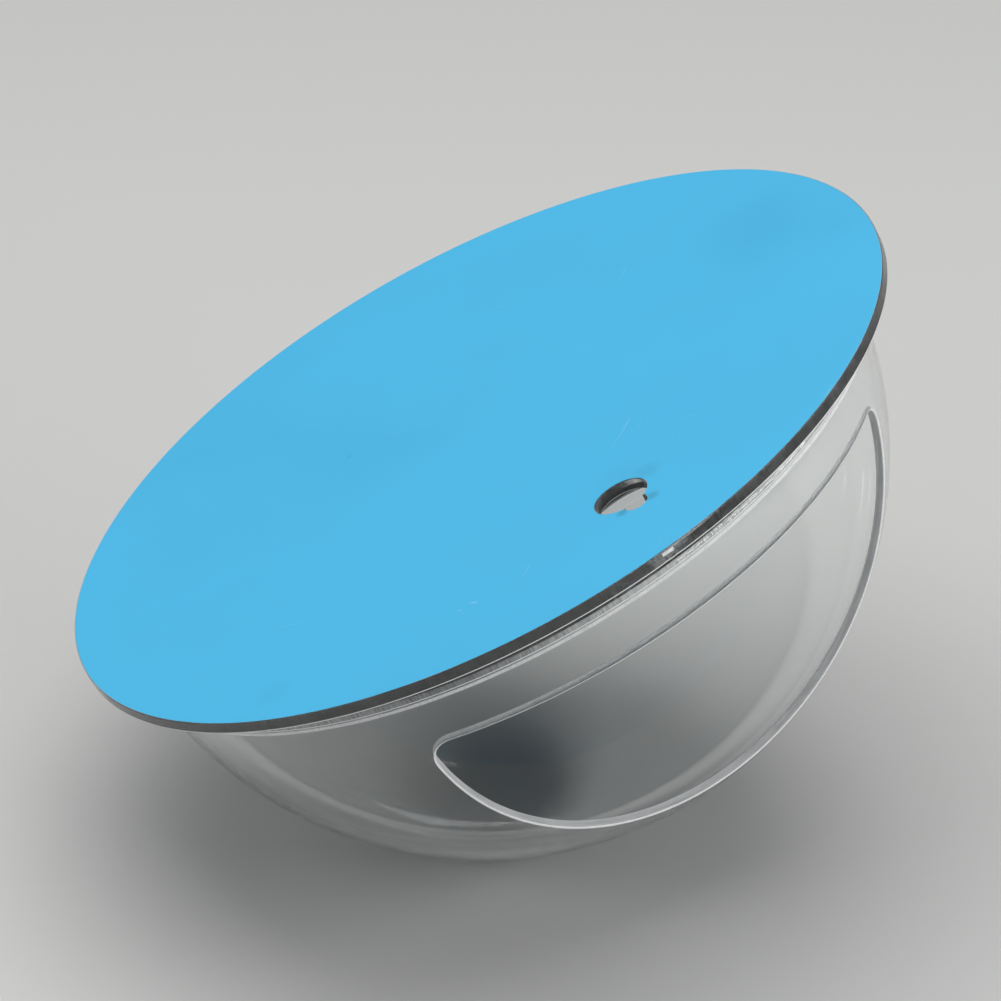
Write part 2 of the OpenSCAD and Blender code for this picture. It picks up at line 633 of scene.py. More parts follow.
class FinishBook:
    """All the materials of the tank, by the surface that wears them."""

    def __init__(self) -> None:
        """Makes the materials."""
        effects = Effects()
        finishes = {
            Surface.FILM: BlueFilm(effects),
            Surface.SHEET: ClearAcrylic(effects),
            Surface.CUT_EDGE: CutEdge(effects),
            Surface.BLOWN: ClearAcrylic(effects, wave_depth=0.02 * MM),
            Surface.SAWN: SawnAcrylic(effects),
            Surface.SCRAPED: SawnAcrylic(effects, clear=0.15, ridge_depth=0.01 * MM, roughness=(0.4, 0.25)),
            Surface.MOUTH: SawnAcrylic(effects, clear=0.48, marks=SawMark.LINES,
                                       dull=(0.68, 0.70, 0.71, 1.0), roughness=(0.6, 0.3)),
            Surface.CEMENTED: CementedJoint(),
        }
        self.materials = {surface: finish.material(surface.value) for surface, finish in finishes.items()}
        self.floor = PaleFloor().material("pale_floor")


@dataclass(frozen=True)
class Row:
    """One closed loop of points on a piece.

    Attributes:
        points: The loop, one point a line.
        surface: Surface of the faces that lead from this loop to the next one.
        crease: Whether the shading breaks along this loop.
        frosted: Which of those faces the saw has left frosted, by the point that they start at.
    """

    points: np.ndarray
    surface: Surface
    crease: bool = False
    frosted: np.ndarray | None = None

    def surface_at(self, point: int) -> Surface:
        """Surface of the face that starts at a point of the loop."""
        return Surface.SAWN if self.frosted is not None and self.frosted[point] else self.surface


def rows_of(loops: list[np.ndarray], surface: Surface) -> list[Row]:
    """Rows of one surface through a list of loops, creased where it begins."""
    return [Row(loop, surface, crease=k == 0) for k, loop in enumerate(loops)]


def unit(vectors: np.ndarray) -> np.ndarray:
    """The vectors of a list, each made one long."""
    return vectors / np.linalg.norm(vectors, axis=1)[:, None]


def turns_of(loop: np.ndarray) -> np.ndarray:
    """The turn of each point of a loop about the tank's axis, from +X towards +Z."""
    return np.arctan2(loop[:, 2], loop[:, 0])


def circle(radius: float | np.ndarray, depth: float, angles: np.ndarray) -> np.ndarray:
    """A circle about the tank's axis.

    Args:
        radius: Its radius, or one for each point.
        depth: Its distance in front of the wall.
        angles: The turn of each point from +X towards +Z.

    Returns:
        The points.
    """
    flat = np.full_like(angles, -depth)
    return np.stack([radius * np.cos(angles), flat, radius * np.sin(angles)], axis=1)


def arc(axis: np.ndarray, start: np.ndarray, end: np.ndarray, count: int = 600) -> np.ndarray:
    """Directions on a cone about an axis, the short way round.

    Args:
        axis: The cone's axis.
        start: The first direction.
        end: The last direction.
        count: How many directions are wanted.

    Returns:
        The directions, one a line.
    """
    along = axis * (start @ axis)
    first = start - along
    second = np.cross(axis, first)
    turn = np.linspace(0.0, math.atan2(end @ second, end @ first), count)
    return along + np.outer(np.cos(turn), first) + np.outer(np.sin(turn), second)


def run_vectors(loops: list[np.ndarray]) -> list[np.ndarray]:
    """Lays each loop out as a circle of its own length, so that a pattern can follow it without a seam.

    Args:
        loops: The loops of a piece, in order.

    Returns:
        For each loop, its points on that circle, with the way from the first loop as the third number.
    """
    found = []
    depth = 0.0
    for k, loop in enumerate(loops):
        steps = np.linalg.norm(np.roll(loop, -1, axis=0) - loop, axis=1)
        whole = steps.sum()
        angle = math.tau * (np.cumsum(steps) - steps) / whole
        radius = whole / math.tau
        if k:
            depth += np.linalg.norm(loop - loops[k - 1], axis=1).mean()
        way = [radius * np.cos(angle), radius * np.sin(angle), np.full_like(angle, depth)]
        found.append(np.stack(way, axis=1))
    return found


@dataclass
class Piece:
    """A closed mesh drawn through loops that all have the same number of points.

    Attributes:
        name: The piece's name.
        node: The CAD node that it stands for.
        slot: The record's material slot; not used.
    """

    name: str
    node: str
    slot: Slot

    def rows(self) -> list[Row]:
        """The loops of the piece, in order."""
        raise NotImplementedError

    def capped(self) -> bool:
        """Whether the first and last loops are closed by flat faces, and not joined to each other."""
        return False

    def build(self, book: FinishBook) -> None:
        """Makes the mesh, dresses it and puts it in the frame.

        Args:
            book: The materials.
        """
        rows = self.rows()
        surfaces = list(dict.fromkeys(row.surface_at(k) for row in rows for k in range(len(row.points))))
        mesh = bpy.data.meshes.new(self.name)
        for surface in surfaces:
            mesh.materials.append(book.materials[surface])
        drawn = self._draw(rows, surfaces)
        drawn.to_mesh(mesh)
        drawn.free()
        piece = bpy.data.objects.new(self.name, mesh)
        bpy.context.scene.collection.objects.link(piece)
        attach(piece, "root")
        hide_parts(self.node)
        LOG.info("%s: %d points, %d faces", self.name, len(mesh.vertices), len(mesh.polygons))

    def _draw(self, rows: list[Row], surfaces: list[Surface]) -> bmesh.types.BMesh:
        """Draws the loops and the faces between them.

        Args:
            rows: The loops.
            surfaces: The surfaces, in the order of the mesh's materials.

        Returns:
            The drawn mesh.
        """
        drawn = bmesh.new()
        run = drawn.verts.layers.float_vector.new(RUN)
        loops = []
        for row, way in zip(rows, run_vectors([row.points for row in rows])):
            loop = [drawn.verts.new(point) for point in row.points]
            for vertex, vector in zip(loop, way):
                vertex[run] = Vector(vector)
            loops.append(loop)
        pairs = list(zip(rows, loops, loops[1:] + loops[:1]))
        joined = pairs[:-1] if self.capped() else pairs
        for row, here, there in joined:
            for k, corners in enumerate(zip(here, here[1:] + here[:1], there[1:] + there[:1], there)):
                face = drawn.faces.new(corners)
                face.material_index = surfaces.index(row.surface_at(k))
                face.smooth = True
        if self.capped():
            for loop in (loops[0], loops[-1]):
                drawn.faces.new(loop).material_index = surfaces.index(Surface.SHEET)
        for row, loop in zip(rows, loops):
            if row.crease:
                for a, b in zip(loop, loop[1:] + loop[:1]):
                    drawn.edges.get((a, b)).smooth = False
        bmesh.ops.recalc_face_normals(drawn, faces=drawn.faces)
        return drawn


@dataclass(frozen=True)
class Keyhole:
    """The outline of the keyhole: a large round hole with a narrow round lobe above it.

    Attributes:
        hole_r: Radius of the large hole.
        hole_z: Height of its middle.
        lobe_r: Radius of the lobe.
        lobe_z: Height of the lobe's middle.
        hole_points: Number of outline points on the large hole.
        lobe_points: Number of outline points on the lobe.
    """

    hole_r: float
    hole_z: float
    lobe_r: float
    lobe_z: float
    hole_points: int = 200
    lobe_points: int = 88

    @classmethod
    def from_record(cls, record: dict) -> Keyhole:
        """Takes the sizes from the record's mounts.

        Args:
            record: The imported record.

        Returns:
            The keyhole.
        """
        mounts = {mount["name"]: mount for mount in record["mounts"]}
        hole, lobe = mounts["keyhole"], mounts["hanger_lobe"]
        return cls(hole["dims"]["r_mm"] * MM, hole["pos_m"][2], lobe["dims"]["r_mm"] * MM, lobe["pos_m"][2])

    @property
    def middle(self) -> float:
        """Height of a point inside from which the whole outline can be seen."""
        return (self.hole_z + self.lobe_z) / 2 - self.lobe_r / 2

    def outline(self, grow: float, depth: float) -> np.ndarray:
        """The outline as a loop.

        Args:
            grow: How much wider than the keyhole it is all round.
            depth: Its distance in front of the wall.

        Returns:
            The loop.
        """
        hole_r, lobe_r = self.hole_r + grow, self.lobe_r + grow
        rise = self.lobe_z - self.hole_z
        reach = (rise**2 + hole_r**2 - lobe_r**2) / (2 * rise)
        hole_half = math.acos(reach / hole_r)
        lobe_half = math.acos((reach - rise) / lobe_r)
        up = math.pi / 2
        big = np.linspace(up + hole_half, up + math.tau - hole_half, self.hole_points, endpoint=False)
        small = np.linspace(up - lobe_half, up + lobe_half, self.lobe_points, endpoint=False)
        loop = np.concatenate([circle(hole_r, depth, big), circle(lobe_r, depth, small)])
        loop[: self.hole_points, 2] += self.hole_z
        loop[self.hole_points:, 2] += self.lobe_z
        return loop

    def bearings(self) -> np.ndarray:
        """The turn of each outline point, as seen from the middle of the keyhole."""
        loop = self.outline(0.0, 0.0)
        return np.unwrap(np.arctan2(loop[:, 2] - self.middle, loop[:, 0]))

    def ring_angles(self, radius: float, height: float = 0.0) -> np.ndarray:
        """The points on a circle round the keyhole that lie straight outwards of the outline's points.

        Args:
            radius: The circle's radius.
            height: Height of its middle.

        Returns:
            Their turns about the circle's middle.
        """
        middle, bearing = self.middle - height, self.bearings()
        across = middle * np.sin(bearing)
        reach = -across + np.sqrt(across**2 - middle**2 + radius**2)
        return np.unwrap(np.arctan2(middle + reach * np.sin(bearing), reach * np.cos(bearing)))


@dataclass(frozen=True)
class Hollow:
    """The round room behind the keyhole for the head of the screw."""

    radius: float
    height: float

    @classmethod
    def behind(cls, keyhole: Keyhole, room: float) -> Hollow:
        """The hollow that leaves the given room around a keyhole."""
        rise = keyhole.lobe_z - keyhole.hole_z
        return cls(keyhole.hole_r + rise / 2 + room, keyhole.hole_z + rise / 2)


@dataclass
class Sheet(Piece):
    """A round sheet with a rounded corner on the wall side and a scraped one on the front.

    Attributes:
        radius: Outer radius.
        back: Depth of the side that faces the wall.
        front: Depth of the side that faces the room.
        hollow: The room behind the keyhole.
        edge_r: Radius of the corner on the wall side.
        scraped_r: Radius of the corner on the front.
        edge_steps: Number of faces across each of them.
        points: Number of points in a loop.
    """

    radius: float
    back: float
    front: float
    hollow: Hollow
    edge_r: float = 0.2 * MM
    scraped_r: float = 0.4 * MM
    edge_steps: int = 4
    points: int = 288

    def angles(self, radius: float, height: float = 0.0) -> np.ndarray:
        """The turns of the points on a circle of the sheet, about the circle's own middle."""
        return np.linspace(0.0, math.tau, self.points, endpoint=False)

    def ring(self, radius: float, depth: float, height: float = 0.0) -> np.ndarray:
        """A circle on the sheet.

        Args:
            radius: Its radius.
            depth: Its distance in front of the wall.
            height: Height of its middle.

        Returns:
            The loop.
        """
        loop = circle(radius, depth, self.angles(radius, height))
        loop[:, 2] += height
        return loop

    def rim(self, inset: float, depth: float) -> np.ndarray:
        """The loop of the rim, drawn in by inset, at a depth."""
        return self.ring(self.radius - inset, depth)

    def edge_rows(self, face: Surface) -> list[Row]:
        """The rim from the wall side to the front, with both of its corners.

        Args:
            face: Surface of the front, next to the rim.

        Returns:
            The loops.
        """
        quarter = np.linspace(0.0, math.pi / 2, self.edge_steps + 1)
        ends = quarter[[0, -1]]
        rows = []
        for turn in quarter:
            loop = self._corner(self.edge_r, turn, self.back, 1)
            rows.append(Row(loop, Surface.CUT_EDGE, crease=turn in ends))
        for turn in quarter[::-1]:
            loop = self._corner(self.scraped_r, turn, self.front, -1)
            rows.append(Row(loop, Surface.SCRAPED, crease=turn in ends))
        rows[-1] = replace(rows[-1], surface=face)
        return rows

    def _corner(self, radius: float, turn: float, side: float, inwards: int) -> np.ndarray:
        """A loop on a corner of the rim.

        Args:
            radius: The corner's radius.
            turn: How far the loop lies from the side towards the rim, as an angle.
            side: Depth of the side.
            inwards: 1 where depths grow from the side into the sheet, -1 where they shrink.

        Returns:
            The loop.
        """
        return self.rim(radius * (1 - math.sin(turn)), side + inwards * radius * (1 - math.cos(turn)))


@dataclass
class HoledSheet(Sheet):
    """A round sheet with a hole through it."""

    def hole(self, grow: float, depth: float) -> np.ndarray:
        """The loop of the hole, wider all round by grow, at a depth."""
        raise NotImplementedError

    def hole_rows(self, face: Surface) -> list[Row]:
        """The wall of the hole from the front to the wall side, with both of its corners.

        Args:
            face: Surface of the wall side, next to the hole.

        Returns:
            The loops.
        """
        scraped, small = self.scraped_r, self.edge_r / 2
        return [
            Row(self.hole(scraped, self.front), Surface.SCRAPED, crease=True),
            Row(self.hole(0.0, self.front - scraped), Surface.CUT_EDGE, crease=True),
            Row(self.hole(0.0, self.back + small), Surface.CUT_EDGE, crease=True),
            Row(self.hole(small, self.back), face, crease=True),
        ]


@dataclass(kw_only=True)
class MountingPlate(HoledSheet):
    """The plate with the keyhole, and the two small nicks in its edge where the cut began and ended.

    Attributes:
        keyhole: The keyhole.
        spacer_r: Radius of the spacer that is cemented to it.
        nick_turns: Places of the nicks round the rim, in degrees.
        frosted_turns: Where the edge is still frosted between the nicks, in degrees round the rim.
        frosted_depths: Between which depths it is.
    """

    keyhole: Keyhole
    spacer_r: float
    nick_turns: Range = (93.5, 95.1)
    nick_depth: float = 0.15 * MM
    nick_width: float = 0.8 * MM
    frosted_turns: Range = (93.35, 95.2)
    frosted_depths: Range = (0.7 * MM, 1.6 * MM)

    def angles(self, radius: float, height: float = 0.0) -> np.ndarray:
        """The turns of the points on a circle of the plate, each straight outwards of a keyhole's point."""
        return self.keyhole.ring_angles(radius, height)

    def rim(self, inset: float, depth: float) -> np.ndarray:
        """The loop of the rim with its nicks.

        Args:
            inset: How far the rim is drawn in.
            depth: Its distance in front of the wall.

        Returns:
            The loop.
        """
        angles = self.angles(self.radius)
        away = [np.mod(angles - math.radians(t) + math.pi, math.tau) - math.pi for t in self.nick_turns]
        nicks = sum(np.exp(-((a * self.radius / self.nick_width) ** 2)) for a in away)
        return circle(self.radius - inset - self.nick_depth * nicks, depth, angles)

    def edge_rows(self, face: Surface) -> list[Row]:
        """The rim from the wall side to the front, with the frosted mark of the cut.

        Args:
            face: Surface of the front, next to the rim.

        Returns:
            The loops.
        """
        rows = super().edge_rows(face)
        first, last = np.radians(self.frosted_turns)
        angles = np.mod(self.angles(self.radius), math.tau)
        frosted = (angles > first) & (angles < last)
        upper, lower = (self.rim(0.0, depth) for depth in self.frosted_depths)
        flat = self.edge_steps + 1
        mark = [Row(upper, Surface.CUT_EDGE, frosted=frosted), Row(lower, Surface.CUT_EDGE)]
        return rows[:flat] + mark + rows[flat:]

    def hole(self, grow: float, depth: float) -> np.ndarray:
        """The keyhole's loop, wider all round by grow, at a depth."""
        return self.keyhole.outline(grow, depth)

    def rows(self) -> list[Row]:
        """The loops of the plate, in order."""
        return [
            *self.edge_rows(Surface.SHEET),
            Row(self.ring(self.spacer_r - self.edge_r, self.front), Surface.CEMENTED),
            Row(self.ring(self.hollow.radius, self.front, self.hollow.height), Surface.SHEET),
            *self.hole_rows(Surface.SHEET),
        ]


@dataclass
class Spacer(HoledSheet):
    """The spacer with the round hollow for the head of the screw, cemented on both sides."""

    def hole(self, grow: float, depth: float) -> np.ndarray:
        """The hollow's loop, wider all round by grow, at a depth."""
        return self.ring(self.hollow.radius + grow, depth, self.hollow.height)

    def rows(self) -> list[Row]:
        """The loops of the spacer, in order."""
        return self.edge_rows(Surface.CEMENTED) + self.hole_rows(Surface.CEMENTED)


@dataclass(kw_only=True)
class TankBack(Sheet):
    """The sheet that closes the dome, cemented to the spacer and to the dome's lip.

    Attributes:
        lip_r: Outer radius of the lip.
        bowl_r: Inner radius of the dome where it stands on the sheet.
    """

    lip_r: float
    bowl_r: float

    def capped(self) -> bool:
        """Both faces are closed in the middle."""
        return True

    def rows(self) -> list[Row]:
        """The loops of the sheet, in order."""
        return [
            Row(self.ring(self.hollow.radius, self.back, self.hollow.height), Surface.CEMENTED),
            *self.edge_rows(Surface.SHEET),
            Row(self.ring(self.lip_r, self.front), Surface.CEMENTED),
            Row(self.ring(self.bowl_r, self.front), Surface.SHEET),
        ]


@dataclass
class Film(Piece):
    """The protective film, which lifts a little in blisters beside the keyhole.

    Attributes:
        radius: Outer radius.
        inner: Depth of the side on the plate.
        level: Depth of the outer side where the film lies flat.
        lift: Greatest height of a blister over the flat film.
        keyhole: The keyhole.
        clearance: How much wider than the keyhole the film's own hole is all round.
        blisters: x, z and radius of each blister in millimetres, and its share of the greatest height.
        steps: Number of faces between the keyhole and the rim.
        ease: How strongly these faces crowd round the keyhole.
    """

    radius: float
    inner: float
    level: float
    lift: float
    keyhole: Keyhole
    clearance: float
    blisters: Listing = (
        (3.8, 88.6, 2.6, 1.0),
        (-4.6, 86.2, 2.4, 0.9),
        (9.8, 76.2, 3.4, 0.7),
        (-12.0, 79.0, 4.0, 0.4),
    )
    steps: int = 40
    ease: float = 2.2

    def rows(self) -> list[Row]:
        """The loops of the film, from the keyhole outwards and back on the plate's side.

        Returns:
            The loops, in order.
        """
        hole, rim = self._edges(self.level)
        rows = []
        for share in np.linspace(0.0, 1.0, self.steps + 1) ** self.ease:
            loop = hole + share * (rim - hole)
            loop[:, 1] += self._rise(loop)
            rows.append(Row(loop, Surface.FILM, crease=share in WHOLE))
        inner_hole, inner_rim = self._edges(self.inner)
        return rows + [Row(loop, Surface.FILM, crease=True) for loop in (inner_rim, inner_hole)]

    def _edges(self, depth: float) -> tuple[np.ndarray, np.ndarray]:
        """The loops of the film's hole and of its rim at a depth."""
        rim = circle(self.radius, depth, self.keyhole.ring_angles(self.radius))
        return self.keyhole.outline(self.clearance, depth), rim

    def _rise(self, loop: np.ndarray) -> np.ndarray:
        """How far the film rises over its level.

        Args:
            loop: A loop on the flat film.

        Returns:
            The rise at each point of the loop.
        """
        rise = np.zeros(len(loop))
        for x, z, radius, share in self.blisters:
            away = np.hypot(loop[:, 0] - x * MM, loop[:, 2] - z * MM) / (radius * MM)
            rise = np.maximum(rise, share * self.lift * np.exp(-away**2))
        return rise


@dataclass(frozen=True)
class Mouth:
    """The outer edge of the mouth: a back edge and a sloping floor on a ball, with a turn at each end.

    Attributes:
        radius: Radius of the ball.
        back_out: Distance of the back edge's plane from the ball's centre.
        height: Height over the ball's centre where the floor would meet the back edge without a turn.
        tilt: Slope of the floor, down towards the front.
        turn_r: Radius of the turns.
    """

    radius: float
    back_out: float
    height: float
    tilt: float
    turn_r: float

    def half(self) -> np.ndarray:
        """The half of the edge with x above 0, from the back to the front.

        Returns:
            Directions from the ball's centre.
        """
        sine, cosine = math.sin(self.tilt), math.cos(self.tilt)
        back_axis, floor_axis = np.array([0.0, -1.0, 0.0]), np.array([0.0, -sine, cosine])
        back = math.acos(self.back_out / self.radius)
        floor = math.acos((self.height * cosine + self.back_out * sine) / self.radius)
        turn = math.asin(self.turn_r / self.radius)
        out = math.cos(back - turn)
        rise = (math.cos(floor - turn) - out * sine) / cosine
        turn_axis = np.array([math.sqrt(1 - out**2 - rise**2), -out, rise])
        ends = [
            (math.sin(angle) * turn_axis - math.sin(turn) * axis) / math.sin(angle - turn)
            for axis, angle in ((back_axis, back), (floor_axis, floor))
        ]
        top = np.array([0.0, -math.cos(back), math.sin(back)])
        low = math.cos(floor) * floor_axis - math.sin(floor) * np.array([0.0, cosine, sine])
        return np.concatenate([
            arc(back_axis, top, ends[0]),
            arc(turn_axis, ends[0], ends[1])[1:],
            arc(floor_axis, ends[1], low)[1:],
        ])

    def rays(self, count: int) -> np.ndarray:
        """The whole edge, evenly spaced.

        Args:
            count: How many points are wanted.

        Returns:
            Directions from the ball's centre.
        """
        half = self.half()
        whole = np.concatenate([half, half[-2::-1] * (-1.0, 1.0, 1.0)])
        way = np.concatenate([[0.0], np.cumsum(np.linalg.norm(np.diff(whole, axis=0), axis=1))])
        at = np.linspace(0.0, way[-1], count, endpoint=False)
        return unit(np.stack([np.interp(at, way, column) for column in whole.T], axis=1))


@dataclass
class Dome(Piece):
    """The blown dome with its sawn lip and mouth.

    Attributes:
        radius: Outer radius of the ball that the dome is part of.
        wall: Thickness of the wall.
        rim: Depth of the lip's cemented side.
        front: Depth of the foremost point.
        lip_r: Outer radius of the lip.
        lip_t: Thickness of the lip.
        mouth: The mouth's outer edge.
        fillet_r: Radius of the fillet between the lip and the wall.
        lip_edge_r: Size of the lip's corners.
        lip_wetted: How far from the joint the cement has made the lip's sawn edge clear again.
        lip_waver: How far the hand-trimmed lip stays back from its full radius at most.
        lip_swings: How often that swings on the way round, in several waves.
        mouth_outer_r: Radius of the outer corner of the mouth's edge.
        mouth_inner_r: Radius of the inner corner.
        back_scraped_r: How much rounder the inner corner of the mouth's back edge is scraped.
        mouth_turn: Turn of the mouth's middle from straight up towards the front.
        points: Number of points in a loop.
        steps: Number of faces from the mouth to the lip.
        rays: Directions from the ball's centre to the mouth's edge.
        away: Directions along the wall, square to the mouth's edge and away from the mouth.
    """

    radius: float
    wall: float
    rim: float
    front: float
    lip_r: float
    lip_t: float
    mouth: Mouth
    fillet_r: float = 1.2 * MM
    lip_edge_r: float = 0.15 * MM
    lip_wetted: float = 0.55 * MM
    lip_waver: float = 0.12 * MM
    lip_swings: tuple[int, ...] = (3, 7, 16, 41)
    mouth_outer_r: float = 0.4 * MM
    mouth_inner_r: float = 0.25 * MM
    back_scraped_r: float = 1.0 * MM
    mouth_turn: float = math.radians(32)
    points: int = 480
    steps: int = 44
    fillet_steps: int = 5
    mouth_steps: int = 5
    rays: np.ndarray = field(init=False)
    away: np.ndarray = field(init=False)

    def __post_init__(self) -> None:
        """Works out the directions at the mouth's edge."""
        self.rays = self.mouth.rays(self.points)
        along = np.roll(self.rays, -1, axis=0) - np.roll(self.rays, 1, axis=0)
        self.away = unit(np.cross(self.rays, along))

    @property
    def centre(self) -> float:
        """Distance of the ball's centre from the wall."""
        return self.front - self.radius

    @property
    def bowl_r(self) -> float:
        """Inner radius where the dome stands on the tank back."""
        return math.sqrt((self.radius - self.wall) ** 2 - (self.rim - self.centre) ** 2)

    def rows(self) -> list[Row]:
        """The loops of the dome: down the outside, over the lip, up the inside and across the mouth's edge.

        Returns:
            The loops, in order.
        """
        inner_r = self.radius - self.wall
        inner_round = self.mouth_inner_r + self.back_scraped_r * np.maximum(self.away[:, 1:2], 0.0)
        outer_round = np.full_like(inner_round, self.mouth_outer_r)
        rows = self._outside(outer_round)
        angles = turns_of(rows[-1].points)
        rows += self._lip(angles)
        inside = self._wall(inner_r, inner_round, self.rim - CEMENT)
        inside[-1] = circle(math.hypot(*inside[-1][0, [0, 2]]), self.rim - CEMENT, angles)
        rows += rows_of(inside[:0:-1], Surface.BLOWN)
        corner = [inside[0], *self._round(inner_r, -inner_round)]
        rows += rows_of(corner[:-1], Surface.SCRAPED)
        rows += rows_of(corner[-1:], Surface.MOUTH)
        return rows + rows_of(self._round(self.radius, outer_round)[::-1], Surface.SCRAPED)

    def _outside(self, round_r: np.ndarray) -> list[Row]:
        """The outer side of the wall, from the mouth to the foot of the fillet over the lip.

        Args:
            round_r: Radii of the corner at the mouth's edge.

        Returns:
            The loops.
        """
        fillet_c = self.radius + self.fillet_r
        fillet_depth = self.rim + self.lip_t + self.fillet_r
        fillet_out = math.sqrt(fillet_c**2 - (fillet_depth - self.centre) ** 2)
        touch = self.centre + (fillet_depth - self.centre) * self.radius / fillet_c
        outside = self._wall(self.radius, round_r, touch)
        angles = turns_of(outside[-1])
        start = math.atan2(touch - fillet_depth, math.hypot(*outside[-1][0, [0, 2]]) - fillet_out)
        for turn in np.linspace(start, -math.pi / 2, self.fillet_steps + 1)[1:]:
            radius = fillet_out + self.fillet_r * math.cos(turn)
            outside.append(circle(radius, fillet_depth + self.fillet_r * math.sin(turn), angles))
        return rows_of(outside, Surface.BLOWN)

    def _lip(self, angles: np.ndarray) -> list[Row]:
        """The sawn edge of the lip, from its front to its cemented side.

        Args:
            angles: The turns of its points about the tank's axis.

        Returns:
            The loops.
        """
        waver = self._waver(angles)
        front, edge_r = self.rim + self.lip_t, self.lip_edge_r
        rows = []
        for inset, depth, surface in (
            (edge_r, front, Surface.SAWN),
            (0.0, front - edge_r, Surface.SAWN),
            (0.0, self.rim + self.lip_wetted, Surface.BLOWN),
            (0.0, self.rim + edge_r, Surface.BLOWN),
            (edge_r, self.rim - CEMENT, Surface.CEMENTED),
        ):
            rows.append(Row(circle(self.lip_r - inset - waver, depth, angles), surface, crease=True))
        return rows

    def _waver(self, angles: np.ndarray) -> np.ndarray:
        """How far the hand-trimmed lip stays back from its full radius at the given turns."""
        swings = sum(np.sin(n * angles + n * n) for n in self.lip_swings) / len(self.lip_swings)
        return self.lip_waver * (1 + swings) / 2

    def _from_centre(self, reach: np.ndarray) -> np.ndarray:
        """The points at the given vectors from the ball's centre."""
        return reach + np.array([0.0, -self.centre, 0.0])

    def _round(self, radius: float, round_r: np.ndarray) -> list[np.ndarray]:
        """A rounded corner of the mouth's edge, from the wall to the face of the cut.

        Args:
            radius: Radius of the wall's side that the corner belongs to.
            round_r: The corner's own radii, below 0 on the inner side of the wall.

        Returns:
            The loops, without the first one, which belongs to the wall.
        """
        rays, away, size = self.rays, self.away, np.abs(round_r)
        base = self._from_centre((radius - round_r) * rays + size * away)
        turns = np.linspace(0.0, math.pi / 2, self.mouth_steps + 1)[1:]
        return [base + round_r * math.cos(turn) * rays - size * math.sin(turn) * away for turn in turns]

    def _wall(self, radius: float, round_r: np.ndarray, end: float) -> list[np.ndarray]:
        """One side of the wall, from the rounded corner at the mouth's edge to a depth.

        Args:
            radius: The side's radius.
            round_r: Radii of the corner.
            end: The depth at which it ends.

        Returns:
            The loops, from the mouth outwards.
        """
        axis = np.array([0.0, -math.sin(self.mouth_turn), math.cos(self.mouth_turn)])
        corner = unit(radius * self.rays + round_r * self.away)
        first = np.arccos(corner @ axis)
        side = unit(corner - np.outer(corner @ axis, axis))
        reach = np.hypot(axis[1], side[:, 1])
        last = np.arctan2(-side[:, 1], -axis[1]) + np.arccos((end - self.centre) / radius / reach)
        loops = []
        for share in np.linspace(0.0, 1.0, self.steps + 1):
            turn = first + share * (last - first)
            ray = np.outer(np.cos(turn), axis) + np.sin(turn)[:, None] * side
            loops.append(self._from_centre(radius * ray))
        return loops


@dataclass(frozen=True)
class PhotoView:
    """The camera of the photograph.

    Attributes:
        azimuth: Turn of the camera about +Z, from a look along +Y.
        elevation: Height of the camera over the level plane, as an angle.
        roll: Turn of the camera about its own axis.
        aim: The point that it looks at.
        distance: Distance from that point.
        lens: Focal length in millimetres.
        sensor: Width of the sensor in millimetres.
        sight: How far the camera sees.
        look_down: How far it looks down on the floor, as an angle.
    """

    azimuth: float = math.radians(-146.876)
    elevation: float = math.radians(59.597)
    roll: float = math.radians(113.118)
    aim: Place = (0.87 * MM, -24.21 * MM, -9.22 * MM)
    distance: float = 1.5446
    lens: float = 215.78
    sensor: float = 36.0
    sight: float = 50.0
    look_down: float = math.radians(30)

    def axes(self) -> tuple[Vector, Vector, Vector]:
        """The camera's own directions.

        Returns:
            Right, up and back.
        """
        back = Vector((
            math.sin(self.azimuth) * math.cos(self.elevation),
            -math.cos(self.azimuth) * math.cos(self.elevation),
            math.sin(self.elevation),
        ))
        level = Vector((0.0, 0.0, 1.0)).cross(back).normalized()
        right = level * math.cos(self.roll) + back.cross(level) * math.sin(self.roll)
        return right, back.cross(right), back

    def floor_axes(self) -> tuple[Vector, Vector, Vector]:
        """The floor's directions as the camera sees them.

        Returns:
            Right, towards the camera, and up.
        """
        right, up, back = self.axes()
        rise = up * math.cos(self.look_down) + back * math.sin(self.look_down)
        return right, right.cross(rise), rise

    def place(self) -> None:
        """Makes the camera."""
        right, up, back = self.axes()
        data = bpy.data.cameras.new("photo_camera")
        data.lens = self.lens
        data.sensor_width = self.sensor
        data.clip_end = self.sight
        camera = bpy.data.objects.new("photo_camera", data)
        turn = Matrix((right, up, back)).transposed().to_4x4()
        camera.matrix_world = Matrix.Translation(Vector(self.aim) + back * self.distance) @ turn
        bpy.context.scene.collection.objects.link(camera)
        bpy.context.scene.camera = camera


@dataclass(frozen=True)
class Softbox:
    """A soft light.

    Attributes:
        name: Its name.
        place: Its place over the floor: right, towards the camera and up.
        width: Its width.
        height: Its height.
        watts: Its power.
    """

    name: str
    place: Place
    width: float
    height: float
    watts: float


